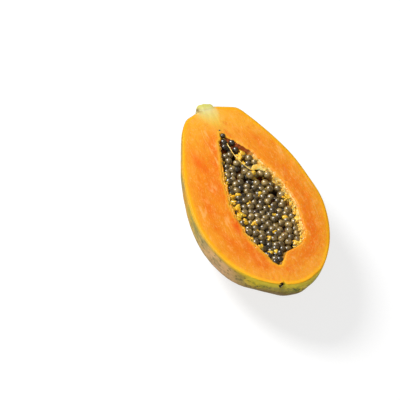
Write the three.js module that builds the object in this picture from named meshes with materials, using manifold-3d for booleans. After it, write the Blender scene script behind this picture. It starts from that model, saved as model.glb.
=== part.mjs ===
// Half of a small papaya, cut lengthwise, lying on its rounded back with its cut face up.
//
// Millimetres. X runs from the stem to the blossom end, Y across the cut face and Z up out of it.
// The pieces are modelled with the stem shoulder at X = 0 and the cut face at Z = 0. The group
// then moves them, so that the origin is the middle of the footprint, on the ground.

import * as THREE from 'three';
import { mergeVertices } from 'three/addons/utils/BufferGeometryUtils.js';
import Module from 'manifold-3d';

const manifold = await Module();
manifold.setup();

// ---- the fruit ----
// Outline of the cut face, as [along, left edge, right edge]
const fruitRim = [
  [0, -3, 3],
  [0.9, -6.5, 8.6],
  [3, -11.5, 19],
  [6, -17.2, 22.8],
  [10.5, -25, 25.8],
  [20, -31.2, 31.4],
  [37, -37.8, 40],
  [56, -44.4, 47.3],
  [76, -49, 51.4],
  [97, -51.6, 54],
  [117, -50.9, 51.3],
  [134, -46.2, 45.7],
  [148, -39.3, 38.2],
  [159.5, -28.4, 29],
  [166.6, -16.4, 18.4],
  [169.8, -6.2, 10.7],
  [170.8, 0.8, 4.8],
];
const backDepth = 0.935; // depth of the back, as a share of the half width
const ridgeCount = 5; // faint ridges round the whole fruit, one to each row of seeds
const ridgeHeight = 0.011; // as a share of the half width
const cutFaceHeight = 48.6; // over the ground, so the back ends in a small flat spot
// Bulges and one dent of the blossom end, as [along, across, down, radius, height]
const endBulges = [
  [163.5, 15.5, 12.5, 12, 1.9],
  [164, 6.5, 22, 12, 1.9],
  [156, -15, 27, 15, -1.9],
];
const bulgeMiddle = new THREE.Vector3(110, 0, 0); // the bulges push straight away from here
const bulgeFade = 4; // depth under the cut face at which they have their full height
const fruitSteps = 3; // rings between two points of the outline
const fruitSides = 30; // facets round the back

// ---- the seed cavity ----
// Its opening in the cut face, as [along, left edge, right edge]
const cavityRim = [
  [26.6, -2.5, -1],
  [31, -3.9, 1.4],
  [36, -6.2, 7.2],
  [44, -8.6, 13.6],
  [60, -13.9, 22.2],
  [80, -17.8, 29.7],
  [100, -20.2, 31.8],
  [117, -18.6, 30.2],
  [129, -15.8, 27],
  [136, -12.9, 21.2],
  [142.4, -9.8, 6.6],
  [149, -7, 1.2],
  [152, -4, -1.6],
];
const cavityDepth = 0.95; // as a share of the half width of the opening
const cavitySteps = 2; // rings between two points of the opening
const edgeSteps = 6; // finer steps, for finding the edge at a place
const cavitySides = 28; // facets round the whole cavity
const jointGap = 0.4; // between two pieces that touch
const liningThickness = 0.9;
const seedRoom = 2 * jointGap + liningThickness; // between the cavity's wall and the seeds
const cavityWidest = [
  Math.min(...cavityRim.map(([, left]) => left)),
  Math.max(...cavityRim.map(([, , right]) => right)),
];

// ---- the stem stub, as [along, middle, half width] ----
const stubSections = [
  [-3, -4.7, 4.9],
  [-1.9, -4.8, 6.2],
  [0.3, -5.4, 7.3],
  [3.5, -5.6, 8],
  [8, -4.7, 6.8],
  [13, -3.6, 5],
  [19.3, -1.4, 2.2],
];
const stubDepth = 0.9; // as a share of the half width
const stubSides = 12; // facets round its underside
const socketTop = 2; // over the cut face, so that the socket is open at the top

// ---- the seeds ----
const seedCount = 150;
const seedRadius = 2.65;
const seedStretch = 1.1; // length of a seed over its width
const seedSizeSpread = 0.1; // how much the sizes differ, as a share
const seedSides = 6; // facets round a seed
const seedRings = 5; // facets from one end of a seed to the other
const seedSpan = [32, 147]; // the seeds' places along the cavity
const seedSpacing = 1.12; // that the seeds push for, as a share of two radii together
const seedDraw = 43; // start of the random draws
const spreadingRounds = 120;
const coreTop = -5.7; // top of the bunch's core at its left edge
const coreFall = 0.07; // how much the core falls for each millimetre towards the right
const seedSink = [0.3, 3]; // least and most that a seed is sunk into the core
// Hollows in the bunch, as [along, across, radius], and how much deeper the seeds in them lie
const seedHollows = [
  [67, 3, 6],
  [77, 3, 5],
  [84, 21, 4.5],
  [100, 3, 4.5],
  [116, 16, 5],
];
const hollowDepth = 2.2;

// ---- the tufts and the strand of the membrane ----
const tuftDraw = 7;
const tuftSpacing = 12;
const tuftSpan = [48, 138]; // along the cavity
const strandRadius = 0.75;
const strandSteps = 2; // rings between two points of its path
// From the cavity's tip, over the seeds, to the right wall
const strandPath = [
  [29.5, -1.5, -1.2],
  [33.5, 0, -1.9],
  [41, 0.7, -2.3],
  [48, 2.1, -2.4],
  [54, 4.2, -2.6],
  [59, 7.3, -2.8],
  [62.3, 10.2, -3],
  [60.5, 14, -3.2],
  [60.5, 18.5, -3.4],
  [63.5, 24.5, -3.8],
];
const flapWidth = 2.4; // how much wider the strand is where it meets the wall
const flapStart = 0.6; // share of the way along the strand where it starts to widen
const tuftTip = 0.7; // half width at the tip
const tuftThickness = 0.65;
const tuftWidth = [1.4, 2.3]; // least and most half width at the root
const tuftDepth = [1.7, 3.1]; // of the root under the cut face
const tuftLength = [3.6, 6]; // out from the wall
const tuftBend = 2; // most that a tip leans along the cavity, either way
const tuftShift = 4.8; // most that a root stands off its even place, either way
const tuftSag = 0.6; // of the tip under the root
const rodSides = 6;

const farAway = 400; // size of the blocks that cut
const thinnest = 0.3; // half width that a spindle keeps at its tips
const mergeDistance = 1e-5; // points closer than this are one
const shortestEdge = 0.01; // slivers left by the cuts are taken out below this

// Numbers from 0 to 1 that are the same on every run (mulberry32)
function seededRandom(seed) {
  let state = seed;
  return () => {
    state = (state + 0x6d2b79f5) | 0;
    let mixed = Math.imul(state ^ (state >>> 15), 1 | state);
    mixed = (mixed + Math.imul(mixed ^ (mixed >>> 7), 61 | mixed)) ^ mixed;
    return ((mixed ^ (mixed >>> 14)) >>> 0) / 4294967296;
  };
}

// A smooth curve through the points, with the same number of steps from each to the next
function smoothPath(points, steps) {
  const curve = new THREE.CatmullRomCurve3(
    points.map((point) => new THREE.Vector3(...point)),
    false,
    'catmullrom',
  );
  return curve.getPoints((points.length - 1) * steps);
}

// Closed surface over rings of equally many points, with a flat face on the first and the last.
// Seen from behind the first ring, the points of a ring run clockwise.
function loft(rings) {
  const positions = rings.flat().flatMap((point) => [point.x, point.y, point.z]);
  const sides = rings[0].length;
  const faces = [];
  for (let ring = 0; ring < rings.length - 1; ring += 1) {
    for (let side = 0; side < sides; side += 1) {
      const near = ring * sides + side;
      const next = ring * sides + ((side + 1) % sides);
      faces.push(near, near + sides, next, next, near + sides, next + sides);
    }
  }
  const lastRing = (rings.length - 1) * sides;
  for (let side = 1; side < sides - 1; side += 1) {
    faces.push(0, side, side + 1);
    faces.push(lastRing, lastRing + side + 1, lastRing + side);
  }
  const geometry = new THREE.BufferGeometry();
  geometry.setAttribute('position', new THREE.Float32BufferAttribute(positions, 3));
  geometry.setIndex(faces);
  return geometry;
}

function toSolid(geometry) {
  const bare = geometry.clone();
  bare.deleteAttribute('normal');
  bare.deleteAttribute('uv');
  const merged = mergeVertices(bare, mergeDistance);
  return new manifold.Manifold(
    new manifold.Mesh({
      numProp: 3,
      vertProperties: new Float32Array(merged.attributes.position.array),
      triVerts: new Uint32Array(merged.index.array),
    }),
  );
}

function toGeometry(solid) {
  const mesh = solid.simplify(shortestEdge).getMesh();
  const geometry = new THREE.BufferGeometry();
  geometry.setAttribute('position', new THREE.Float32BufferAttribute(mesh.vertProperties, 3));
  geometry.setIndex(Array.from(mesh.triVerts));
  geometry.computeVertexNormals();
  return geometry;
}

// A block with its underside at the given height, tilted about X
function blockAbove(height, fall = 0) {
  const block = new THREE.BoxGeometry(farAway, farAway, farAway);
  block.translate(0, 0, farAway / 2);
  block.rotateX(-Math.atan(fall));
  block.translate(0, 0, height);
  return toSolid(block);
}

function blockBelow(height) {
  const block = new THREE.BoxGeometry(farAway, farAway, farAway);
  block.translate(0, 0, height - farAway / 2);
  return toSolid(block);
}

// Pushes a point of the back out, or in, by the bulges near it
function withBulges(point) {
  const fade = Math.min(-point.z / bulgeFade, 1);
  let height = 0;
  for (const [along, across, down, radius, most] of endBulges) {
    const away = point.distanceTo(new THREE.Vector3(along, across, -down)) / radius;
    height += most * fade * Math.exp(-(away ** 2));
  }
  const outward = point.clone().sub(bulgeMiddle).normalize();
  return point.clone().addScaledVector(outward, height);
}

// Half a ring under the cut face, closed by a straight edge across it
function fruitRing(along, left, right) {
  const middle = (left + right) / 2;
  const halfWidth = (right - left) / 2;
  const ring = [];
  for (let side = 0; side <= fruitSides; side += 1) {
    const turn = (Math.PI * side) / fruitSides;
    const ridge = 1 + ridgeHeight * Math.cos(ridgeCount * (turn - Math.PI / 2));
    const across = middle + halfWidth * ridge * Math.cos(turn);
    const down = side % fruitSides === 0 ? 0 : halfWidth * backDepth * ridge * Math.sin(turn);
    ring.push(withBulges(new THREE.Vector3(along, across, -down)));
  }
  return ring;
}

// The whole spindle of the cavity, above the cut face too, drawn in by the given inset
function cavitySpindle(inset) {
  const start = cavityRim[0][0];
  const end = cavityRim[cavityRim.length - 1][0];
  const centre = (start + end) / 2;
  const shrink = 1 - (2 * inset) / (end - start);
  const rings = smoothPath(cavityRim, cavitySteps).map((point) => {
    const middle = (point.y + point.z) / 2;
    const halfWidth = Math.max((point.z - point.y) / 2 - inset, thinnest);
    const ring = [];
    for (let side = 0; side < cavitySides; side += 1) {
      const turn = (2 * Math.PI * (side + 0.5)) / cavitySides;
      ring.push(
        new THREE.Vector3(
          centre + (point.x - centre) * shrink,
          middle + halfWidth * Math.cos(turn),
          -halfWidth * cavityDepth * Math.sin(turn),
        ),
      );
    }
    return ring;
  });
  return toSolid(loft(rings));
}

// Half a tapered stub under the given top, swollen by the given amount
function stubSolid(top, swell) {
  const rings = stubSections.map(([along, middle, halfWidth], index) => {
    const isEnd = index === stubSections.length - 1;
    const place = isEnd ? along + swell : along;
    const radius = halfWidth + swell;
    const ring = [];
    for (let side = 0; side <= stubSides; side += 1) {
      const turn = (Math.PI * side) / stubSides;
      ring.push(
        new THREE.Vector3(
          place,
          middle + radius * Math.cos(turn),
          -radius * stubDepth * Math.sin(turn),
        ),
      );
    }
    ring.push(new THREE.Vector3(place, middle - radius, top));
    ring.push(new THREE.Vector3(place, middle + radius, top));
    return ring;
  });
  return toSolid(loft(rings));
}

// A flattened rod along a path, with its half width at each share of the way
function rod(path, widthAt, thickness) {
  const rings = path.map((point, index) => {
    const before = path[Math.max(index - 1, 0)];
    const after = path[Math.min(index + 1, path.length - 1)];
    const ahead = after.clone().sub(before).normalize();
    const sideways = new THREE.Vector3(0, 0, 1).cross(ahead).normalize();
    const upright = ahead.clone().cross(sideways);
    const width = widthAt(index / (path.length - 1));
    const ring = [];
    for (let side = 0; side < rodSides; side += 1) {
      const turn = (2 * Math.PI * side) / rodSides;
      ring.push(
        point
          .clone()
          .addScaledVector(sideways, width * Math.cos(turn))
          .addScaledVector(upright, -thickness * Math.sin(turn)),
      );
    }
    return ring;
  });
  return toSolid(loft(rings));
}

const cavityLine = smoothPath(cavityRim, edgeSteps);

// Left and right edge of the cavity at a place along it and a depth under the cut face
function cavityEdges(along, depth) {
  let index = 1;
  while (index < cavityLine.length - 1 && cavityLine[index].x < along) {
    index += 1;
  }
  const from = cavityLine[index - 1];
  const to = cavityLine[index];
  const share = THREE.MathUtils.clamp((along - from.x) / (to.x - from.x), 0, 1);
  const left = THREE.MathUtils.lerp(from.y, to.y, share);
  const right = THREE.MathUtils.lerp(from.z, to.z, share);
  const middle = (left + right) / 2;
  const halfWidth = (right - left) / 2;
  const sunk = Math.min(depth / (halfWidth * cavityDepth), 0.95);
  const reach = halfWidth * Math.sqrt(1 - sunk * sunk);
  return [middle - reach, middle + reach];
}
const coreHeight = (across) => coreTop - coreFall * (across - cavityWidest[0]);

// How much deeper a seed lies at a place over the core
function hollowAt(x, y) {
  const shares = seedHollows.map(([along, across, radius]) => {
    return 1 - THREE.MathUtils.smoothstep(Math.hypot(x - along, y - across), 0, radius);
  });
  return hollowDepth * Math.max(...shares);
}

// Seeds drawn at random over the core, which push each other apart until they lie side by side
function spreadSeeds() {
  const random = seededRandom(seedDraw);
  const seeds = [];
  while (seeds.length < seedCount) {
    const radius = seedRadius * (1 + seedSizeSpread * (2 * random() - 1));
    const sink = THREE.MathUtils.lerp(...seedSink, random());
    const x = THREE.MathUtils.lerp(...seedSpan, random());
    const y = THREE.MathUtils.lerp(...cavityWidest, random());
    const [left, right] = cavityEdges(x, 0);
    if (y > left && y < right) {
      seeds.push({ x, y, z: 0, radius, sink });
    }
  }
  for (let round = 0; round < spreadingRounds; round += 1) {
    seeds.forEach((seed, index) => {
      seeds.slice(index + 1).forEach((other) => pushApart(seed, other));
    });
    seeds.forEach(keepInside);
  }
  return seeds;
}

function pushApart(seed, other) {
  const dx = other.x - seed.x;
  const dy = other.y - seed.y;
  const dz = other.z - seed.z;
  const distance = Math.sqrt(dx * dx + dy * dy + dz * dz);
  const overlap = (seed.radius + other.radius) * seedSpacing - distance;
  if (overlap > 0) {
    const share = overlap / 2 / distance;
    seed.x -= dx * share;
    seed.y -= dy * share;
    other.x += dx * share;
    other.y += dy * share;
  }
}

// Holds a seed on the core and between the walls of the cavity
function keepInside(seed) {
  const margin = seedRoom + seed.radius;
  seed.x = THREE.MathUtils.clamp(seed.x, seedSpan[0], seedSpan[1]);
  seed.z = coreHeight(seed.y) + seed.radius - seed.sink - hollowAt(seed.x, seed.y);
  const [left, right] = cavityEdges(seed.x, -seed.z);
  const middle = (left + right) / 2;
  seed.y = Math.max(seed.y, Math.min(left + margin, middle));
  seed.y = Math.min(seed.y, Math.max(right - margin, middle));
}

// The bunch: a core with the seeds standing out of it, cut back from the strand and tufts
function makeSeeds(strands) {
  const random = seededRandom(seedDraw + 1);
  const room = cavitySpindle(seedRoom);
  const seeds = spreadSeeds().map(({ x, y, z, radius }) => {
    const seed = new THREE.SphereGeometry(radius, seedSides, seedRings);
    seed.rotateX(Math.PI / 2);
    seed.scale(seedStretch, 1, 1);
    seed.rotateZ(Math.PI * random());
    seed.translate(x, y, z);
    return toSolid(seed);
  });
  const core = room.subtract(blockAbove(coreHeight(0), coreFall));
  const bunch = manifold.Manifold.union([core, ...seeds]).intersect(room);
  return largestPiece(bunch.subtract(strands));
}

function largestPiece(solid) {
  return solid.decompose().sort((one, other) => other.volume() - one.volume())[0];
}

// The strand over the seeds with the flap that ends it, and the tufts round the cavity
function makeStrands(swell) {
  const flare = (share) => strandRadius + flapWidth * THREE.MathUtils.smoothstep(share, flapStart, 1);
  const path = smoothPath(strandPath, strandSteps);
  const strand = rod(path, (share) => flare(share) + swell, strandRadius + swell);
  const pieces = [strand];
  const random = seededRandom(tuftDraw);
  for (const side of [-1, 1]) {
    for (let along = tuftSpan[0]; along < tuftSpan[1]; along += tuftSpacing) {
      const rootAlong = along + THREE.MathUtils.lerp(-tuftShift, tuftShift, random());
      const depth = THREE.MathUtils.lerp(...tuftDepth, random());
      const length = THREE.MathUtils.lerp(...tuftLength, random());
      const bend = THREE.MathUtils.lerp(-tuftBend, tuftBend, random());
      const width = THREE.MathUtils.lerp(...tuftWidth, random());
      const [left, right] = cavityEdges(rootAlong, depth);
      const wall = side < 0 ? left : right;
      const out = wall - side * (jointGap + liningThickness / 2);
      const points = [
        new THREE.Vector3(rootAlong, out, -depth),
        new THREE.Vector3(rootAlong + bend / 3, out - (side * length) / 2, -depth),
        new THREE.Vector3(rootAlong + bend, out - side * length, -depth - tuftSag),
      ];
      const taper = (share) => THREE.MathUtils.lerp(width, tuftTip, share) + swell;
      pieces.push(rod(points, taper, tuftThickness + swell));
    }
  }
  return manifold.Manifold.union(pieces);
}

// The membrane: a thin cup inside the cavity, with the strand and tufts grown from it
function makePlacenta() {
  const outside = cavitySpindle(jointGap).subtract(blockAbove(0));
  const inside = cavitySpindle(jointGap + liningThickness);
  const lining = outside.subtract(inside);
  const grown = makeStrands(0).intersect(cavitySpindle(jointGap + liningThickness / 3));
  return largestPiece(lining.add(grown));
}

// Flesh and skin in one, with the cavity, the socket of the stub and the flat spot cut into it
function makeFruit() {
  const rings = smoothPath(fruitRim, fruitSteps).map((point) => fruitRing(point.x, point.y, point.z));
  return toSolid(loft(rings))
    .subtract(cavitySpindle(0))
    .subtract(stubSolid(socketTop, jointGap))
    .subtract(blockBelow(-cutFaceHeight));
}

function finish(color, roughness) {
  return new THREE.MeshStandardMaterial({ color, roughness, metalness: 0 });
}

function addPiece(group, name, solid, material) {
  const mesh = new THREE.Mesh(toGeometry(solid), material);
  mesh.name = name;
  group.add(mesh);
}

function makePapaya() {
  const group = new THREE.Group();
  addPiece(group, 'fruit_half', makeFruit(), finish('#f58c28', 0.45));
  addPiece(group, 'placenta', makePlacenta(), finish('#f2c14a', 0.5));
  addPiece(group, 'seeds', makeSeeds(makeStrands(jointGap)), finish('#3a3427', 0.25));
  addPiece(group, 'stem_stub', stubSolid(0, 0), finish('#d8d588', 0.6));

  const box = new THREE.Box3().setFromObject(group);
  const middle = box.getCenter(new THREE.Vector3());
  group.position.set(-middle.x, -middle.y, -box.min.z);
  group.updateMatrixWorld(true);
  return group;
}

export default makePapaya();
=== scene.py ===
import math

import bpy
import numpy as np
from mathutils import Matrix, Vector, noise


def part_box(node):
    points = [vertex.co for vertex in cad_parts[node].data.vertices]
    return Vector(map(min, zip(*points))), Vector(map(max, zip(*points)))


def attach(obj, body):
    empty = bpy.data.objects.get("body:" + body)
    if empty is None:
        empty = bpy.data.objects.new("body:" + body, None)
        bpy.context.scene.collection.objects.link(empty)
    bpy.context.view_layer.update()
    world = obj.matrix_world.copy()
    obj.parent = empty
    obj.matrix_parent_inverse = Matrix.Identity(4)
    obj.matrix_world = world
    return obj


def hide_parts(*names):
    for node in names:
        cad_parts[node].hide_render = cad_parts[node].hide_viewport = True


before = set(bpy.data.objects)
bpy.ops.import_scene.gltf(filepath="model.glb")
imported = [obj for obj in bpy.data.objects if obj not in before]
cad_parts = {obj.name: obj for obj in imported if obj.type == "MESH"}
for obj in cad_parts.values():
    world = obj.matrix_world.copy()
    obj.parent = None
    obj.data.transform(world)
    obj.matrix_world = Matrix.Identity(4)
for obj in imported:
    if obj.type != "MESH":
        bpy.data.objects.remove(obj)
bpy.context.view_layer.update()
print("frame loaded")

# Shapes are worked out in millimetres: along from the stem shoulder, across the cut face,
# and up from the cut face, so everything in the fruit is below zero. toScene() places them.


def smoothPath(points, count):
    # Catmull-Rom curve through the points, sampled evenly from each point to the next
    knots = np.array(points, float)
    padded = np.vstack([2 * knots[0] - knots[1], knots, 2 * knots[-1] - knots[-2]])
    t = np.linspace(0, len(knots) - 1, count)
    i = np.minimum(t.astype(int), len(knots) - 2)
    f = (t - i)[:, None]
    a, b, c, d = padded[i], padded[i + 1], padded[i + 2], padded[i + 3]
    return b + 0.5 * f * (c - a + f * (2 * a - 5 * b + 4 * c - d + f * (3 * (b - c) + d - a)))


def seededRandom(seed):
    # the same numbers on every run, as in the part's own source
    mask = 0xFFFFFFFF
    state = [seed]

    def draw():
        state[0] = (state[0] + 0x6D2B79F5) & mask
        s = state[0]
        mixed = ((s ^ (s >> 15)) * (1 | s)) & mask
        mixed = ((mixed + (((mixed ^ (mixed >> 7)) * (61 | mixed)) & mask)) & mask) ^ mixed
        return (mixed ^ (mixed >> 14)) / 4294967296

    return draw


def lumps(points, scale, seed, octaves=2):
    # smooth noise of about -1 to 1 at each point, with bumps about scale mm wide
    offset = Vector((seed * 7.13, seed * 3.71, seed * 1.37))
    return np.array([
        noise.fractal(Vector(p) / scale + offset, 0.6, 2.1, octaves, noise_basis="PERLIN_ORIGINAL")
        for p in points
    ])


def smoothStep(low, high, value):
    t = np.clip((value - low) / (high - low), 0, 1)
    return t * t * (3 - 2 * t)


def addObject(name, data):
    thing = bpy.data.objects.new(name, data)
    bpy.context.scene.collection.objects.link(thing)
    return thing


def smoothShade(mesh):
    mesh.polygons.foreach_set("use_smooth", np.ones(len(mesh.polygons), bool))


def makePiece(name, points, faces, materials, slots=None):
    mesh = bpy.data.meshes.new(name)
    mesh.from_pydata(toScene(points).tolist(), [], faces)
    for material in materials:
        mesh.materials.append(material)
    if slots is not None:
        mesh.polygons.foreach_set("material_index", np.asarray(slots, np.int32))
    smoothShade(mesh)
    mesh.validate()
    mesh.update()
    return addObject(name, mesh)


def addAttribute(piece, name, values, kind="FLOAT"):
    field = piece.data.attributes.new(name, kind, "POINT")
    values = np.asarray(values, np.float32)
    field.data.foreach_set("vector" if kind == "FLOAT_VECTOR" else "value", values.ravel())


def bandFaces(loopCount, size, start=0):
    # quads between closed loops of points that follow each other
    faces = []
    for loop in range(loopCount - 1):
        for j in range(size):
            a = start + loop * size + j
            b = start + loop * size + (j + 1) % size
            faces.append((a, a + size, b + size, b))
    return faces


def loopFaces(loopCount, size):
    # a closed skin over the loops, with the end loops folded shut on themselves
    faces = bandFaces(loopCount, size)
    last = (loopCount - 1) * size
    for j in range(size // 2):
        corners = (j, (size - j) % size, size - j - 1, j + 1)
        first = [corner for i, corner in enumerate(corners) if corner not in corners[:i]]
        faces.append(tuple(reversed(first)))
        faces.append(tuple(last + i for i in first))
    return faces


def rodMesh(path, widths, heights, sides=10):
    # a closed rod along a path, with its half width and half height at each point
    path = np.asarray(path, float)
    ahead = np.gradient(path, axis=0)
    ahead /= np.linalg.norm(ahead, axis=1)[:, None]
    sideways = np.cross((0, 0, 1), ahead)
    sideways /= np.linalg.norm(sideways, axis=1)[:, None]
    upright = np.cross(ahead, sideways)
    turn = 2 * np.pi * np.arange(sides) / sides
    rings = (
        path[:, None]
        + sideways[:, None] * (np.asarray(widths)[:, None] * np.cos(turn))[..., None]
        + upright[:, None] * (np.asarray(heights)[:, None] * np.sin(turn))[..., None]
    )
    count = len(path)
    points = np.vstack([rings.reshape(-1, 3), path[0], path[-1]])
    faces = [(a, d, c, b) for a, b, c, d in bandFaces(count, sides)]
    for side in range(sides):
        a, b = side, (side + 1) % sides
        faces.append((count * sides, b, a))
        faces.append((count * sides + 1, (count - 1) * sides + a, (count - 1) * sides + b))
    return points, faces


def joinMeshes(parts):
    points, faces, start = [], [], 0
    for partPoints, partFaces in parts:
        points.append(partPoints)
        faces += [tuple(start + i for i in face) for face in partFaces]
        start += len(partPoints)
    return np.vstack(points), faces


def linear(shade):
    # a screen colour of 0 to 255 as a linear one; what is a socket already stays as it is
    if isinstance(shade, bpy.types.NodeSocket):
        return shade
    shares = [value / 255 for value in shade]
    return (*(s / 12.92 if s <= 0.04045 else ((s + 0.055) / 1.055) ** 2.4 for s in shares), 1)


class Nodes:
    # adds nodes to one tree; a socket given as a value is linked
    def __init__(self, tree):
        self.tree = tree

    def fill(self, node, inputs):
        for key, value in inputs.items():
            if isinstance(value, bpy.types.NodeSocket):
                self.tree.links.new(value, node.inputs[key])
            else:
                node.inputs[key].default_value = value

    def add(self, kind, inputs=None, **settings):
        node = self.tree.nodes.new(kind)
        for key, value in settings.items():
            setattr(node, key, value)
        self.fill(node, inputs or {})
        return node

    def out(self, kind, inputs=None, **settings):
        # a new node's first output
        return self.add(kind, inputs, **settings).outputs[0]

    def math(self, operation, *values):
        return self.out("ShaderNodeMath", dict(enumerate(values)), operation=operation)

    def times(self, *factors):
        product = factors[0]
        for factor in factors[1:]:
            product = self.math("MULTIPLY", product, factor)
        return product

    def mix(self, mask, first, second):
        colours = {0: mask, 6: linear(first), 7: linear(second)}
        return self.add("ShaderNodeMix", colours, data_type="RGBA").outputs[2]

    def rise(self, value, low, high, start=0.0, end=1.0):
        # goes smoothly from start to end while the value goes from low to high
        return self.out("ShaderNodeMapRange", {
            "Value": value, "From Min": low, "From Max": high, "To Min": start, "To Max": end,
        }, interpolation_type="SMOOTHSTEP")

    def noise(self, vector, scale, detail=3.0, roughness=0.55):
        return self.add("ShaderNodeTexNoise", {
            "Vector": vector, "Scale": scale, "Detail": detail, "Roughness": roughness,
        }).outputs["Fac"]

    def stretch(self, vector, scale, turn=(0, 0, 0)):
        return self.out("ShaderNodeMapping", {"Vector": vector, "Scale": scale, "Rotation": turn})


def newTree(name, kind, inputs, outputs):
    # an empty tree: an input is given as a number or, like an output, as its socket's kind
    tree = bpy.data.node_groups.new(name, kind)
    sockets = {}
    for key, value in inputs.items():
        socketKind = {int: "Int", float: "Float"}.get(type(value), value)
        socket = tree.interface.new_socket(name=key, in_out="INPUT", socket_type=f"NodeSocket{socketKind}")
        if socketKind != value:
            socket.default_value = value
        sockets[key] = socket.identifier
    for key, socketKind in outputs.items():
        tree.interface.new_socket(name=key, in_out="OUTPUT", socket_type=f"NodeSocket{socketKind}")
    nodes = Nodes(tree)
    return nodes, nodes.add("NodeGroupInput").outputs, nodes.add("NodeGroupOutput"), sockets


def makePlain(piece, tree, sockets, values):
    # runs a node tree on the piece and keeps the result as a plain mesh
    modifier = piece.modifiers.new("shape", "NODES")
    modifier.node_group = tree
    for key, value in values.items():
        modifier[sockets[key]] = value
    bpy.context.view_layer.update()
    evaluated = piece.evaluated_get(bpy.context.evaluated_depsgraph_get())
    real = bpy.data.meshes.new_from_object(evaluated)
    piece.modifiers.remove(modifier)
    old = piece.data
    piece.data = real
    bpy.data.meshes.remove(old)
    real.name = piece.name


fruit = {
    # outline of the cut face: along, left edge, right edge
    "rim": [
        (0, -3, 3), (0.9, -6.5, 8.6), (3, -11.5, 19), (6, -17.2, 22.8), (10.5, -25, 25.8),
        (20, -31.2, 31.4), (37, -37.8, 40), (56, -44.4, 47.3), (76, -49, 51.4), (97, -51.6, 54),
        (117, -50.9, 51.3), (134, -46.2, 45.7), (148, -39.3, 38.2), (159.5, -28.4, 29),
        (166.6, -16.4, 18.4), (169.8, -6.2, 10.7), (170.8, 0.8, 4.8),
    ],
    "backDepth": 0.935,  # as a share of the half width
    "ridgeCount": 5,
    "ridgeHeight": 0.011,
    "stations": 260,  # loops from end to end
    "backSteps": 72,
    "faceSteps": 30,
    "wallSteps": 36,
    "edgeRound": 0.45,  # drop of the cut face at its edges
    "unevenness": 0.16,  # of the cut face
    "dents": 0.25,  # of the back
    # folds that run into the blossom end, and how far from it they start
    "foldCount": 10,
    "foldDepth": 0.5,
    "foldReach": 11,
    # the crease in the blossom end: across, width, how far it goes in and down
    "crease": (-6.3, 1.3, 2.2, 10),
    # bulges and one dent of the blossom end: along, across, up, radius, height
    "bulges": [(163.5, 15.5, -12.5, 12, 1.9), (164, 6.5, -22, 12, 1.9), (156, -15, -27, 15, -1.9)],
    "bulgeMiddle": (110, 0, 0),  # the bulges push straight away from here
    "bulgeFade": 4,  # depth under the cut over which they grow
    # where the skin turns pale on the left and then green at the blossom end, along
    "paleSpan": (92, 130),
    "tipSpan": (146, 164),
    # redder places in the flesh: along, across, length, width, strength
    "bruises": [
        (49.5, -30.6, 9, 4, 0.6), (112, -22.6, 8, 3, 1), (129, 34, 10, 4, 0.3),
        (141, -20, 8, 3, 0.5), (94, -38, 8, 3, 0.3),
    ],
    # painted shade of the crease where the stub's left side meets the flesh, in the same order
    "stemCrease": (2.6, -11.2, 1.7, 2.2, 0.75),
}

cavity = {
    "rim": [
        (26.6, -2.5, -1), (31, -3.9, 1.4), (36, -6.2, 7.2), (44, -8.6, 13.6), (60, -13.9, 22.2),
        (80, -17.8, 29.7), (100, -20.2, 31.8), (117, -18.6, 30.2), (129, -15.8, 27),
        (136, -12.9, 21.2), (142.4, -9.8, 6.6), (149, -7, 1.2), (152, -4, -1.6),
    ],
    "depth": 0.95,  # as a share of the half width
    "edgeSamples": 6,  # between two of its points, as in the solids' own rule
    "ragged": 0.95,  # size of the bites in its edge
}
cavitySides = min(left for _, left, _ in cavity["rim"]), max(right for *_, right in cavity["rim"])

fruitLow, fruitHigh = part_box("fruit_half")
rimEdges = smoothPath(fruit["rim"], (len(fruit["rim"]) - 1) * 3 + 1)  # the solid's own points
fruitOrigin = np.array([
    fruitLow.x * 1000,
    (fruitLow.y + fruitHigh.y) * 500 - (rimEdges[:, 1].min() + rimEdges[:, 2].max()) / 2,
    fruitHigh.z * 1000,
])


def toScene(points):
    return (np.asarray(points, float) + fruitOrigin) / 1000


def halfRing(edges, turn, depth, swell=1):
    # points under the cut face for every station (rows) and turn (columns, from right to left)
    middle = (edges[:, 1] + edges[:, 2])[:, None] / 2
    halfWidth = (edges[:, 2] - edges[:, 1])[:, None] / 2
    across = middle + halfWidth * np.cos(turn) * swell
    down = -halfWidth * depth * np.sin(turn) * swell
    along = np.repeat(edges[:, :1], len(turn), 1)
    return np.stack([along, across, down], 2)


def raggedCavity():
    # the cavity's edge at every station, with small bites and lobes in it
    hole = smoothPath(cavity["rim"], fruit["stations"])
    share = np.linspace(0, 1, len(hole))
    calm = smoothStep(0, 0.08, share) * smoothStep(0, 0.05, 1 - share)
    for column, seed in ((1, 3), (2, 9)):
        edge = np.stack([hole[:, 0], hole[:, column], np.zeros(len(hole))], 1)
        bites = lumps(edge, 5, seed, 2) + 0.5 * lumps(edge, 1.8, seed + 1, 2)
        hole[:, column] += cavity["ragged"] * bites * calm
    return hole


cavityLine = smoothPath(cavity["rim"], (len(cavity["rim"]) - 1) * cavity["edgeSamples"] + 1)


def cavityEdges(along, depth):
    # left and right edge of the cavity at a place along it and a depth under the cut face
    index = 1
    while index < len(cavityLine) - 1 and cavityLine[index][0] < along:
        index += 1
    start, end = cavityLine[index - 1], cavityLine[index]
    share = min(max((along - start[0]) / (end[0] - start[0]), 0), 1)
    left = start[1] + (end[1] - start[1]) * share
    right = start[2] + (end[2] - start[2]) * share
    middle = (left + right) / 2
    halfWidth = (right - left) / 2
    sunk = min(depth / (halfWidth * cavity["depth"]), 0.95)
    span = halfWidth * math.sqrt(1 - sunk * sunk)
    return middle - span, middle + span


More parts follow.
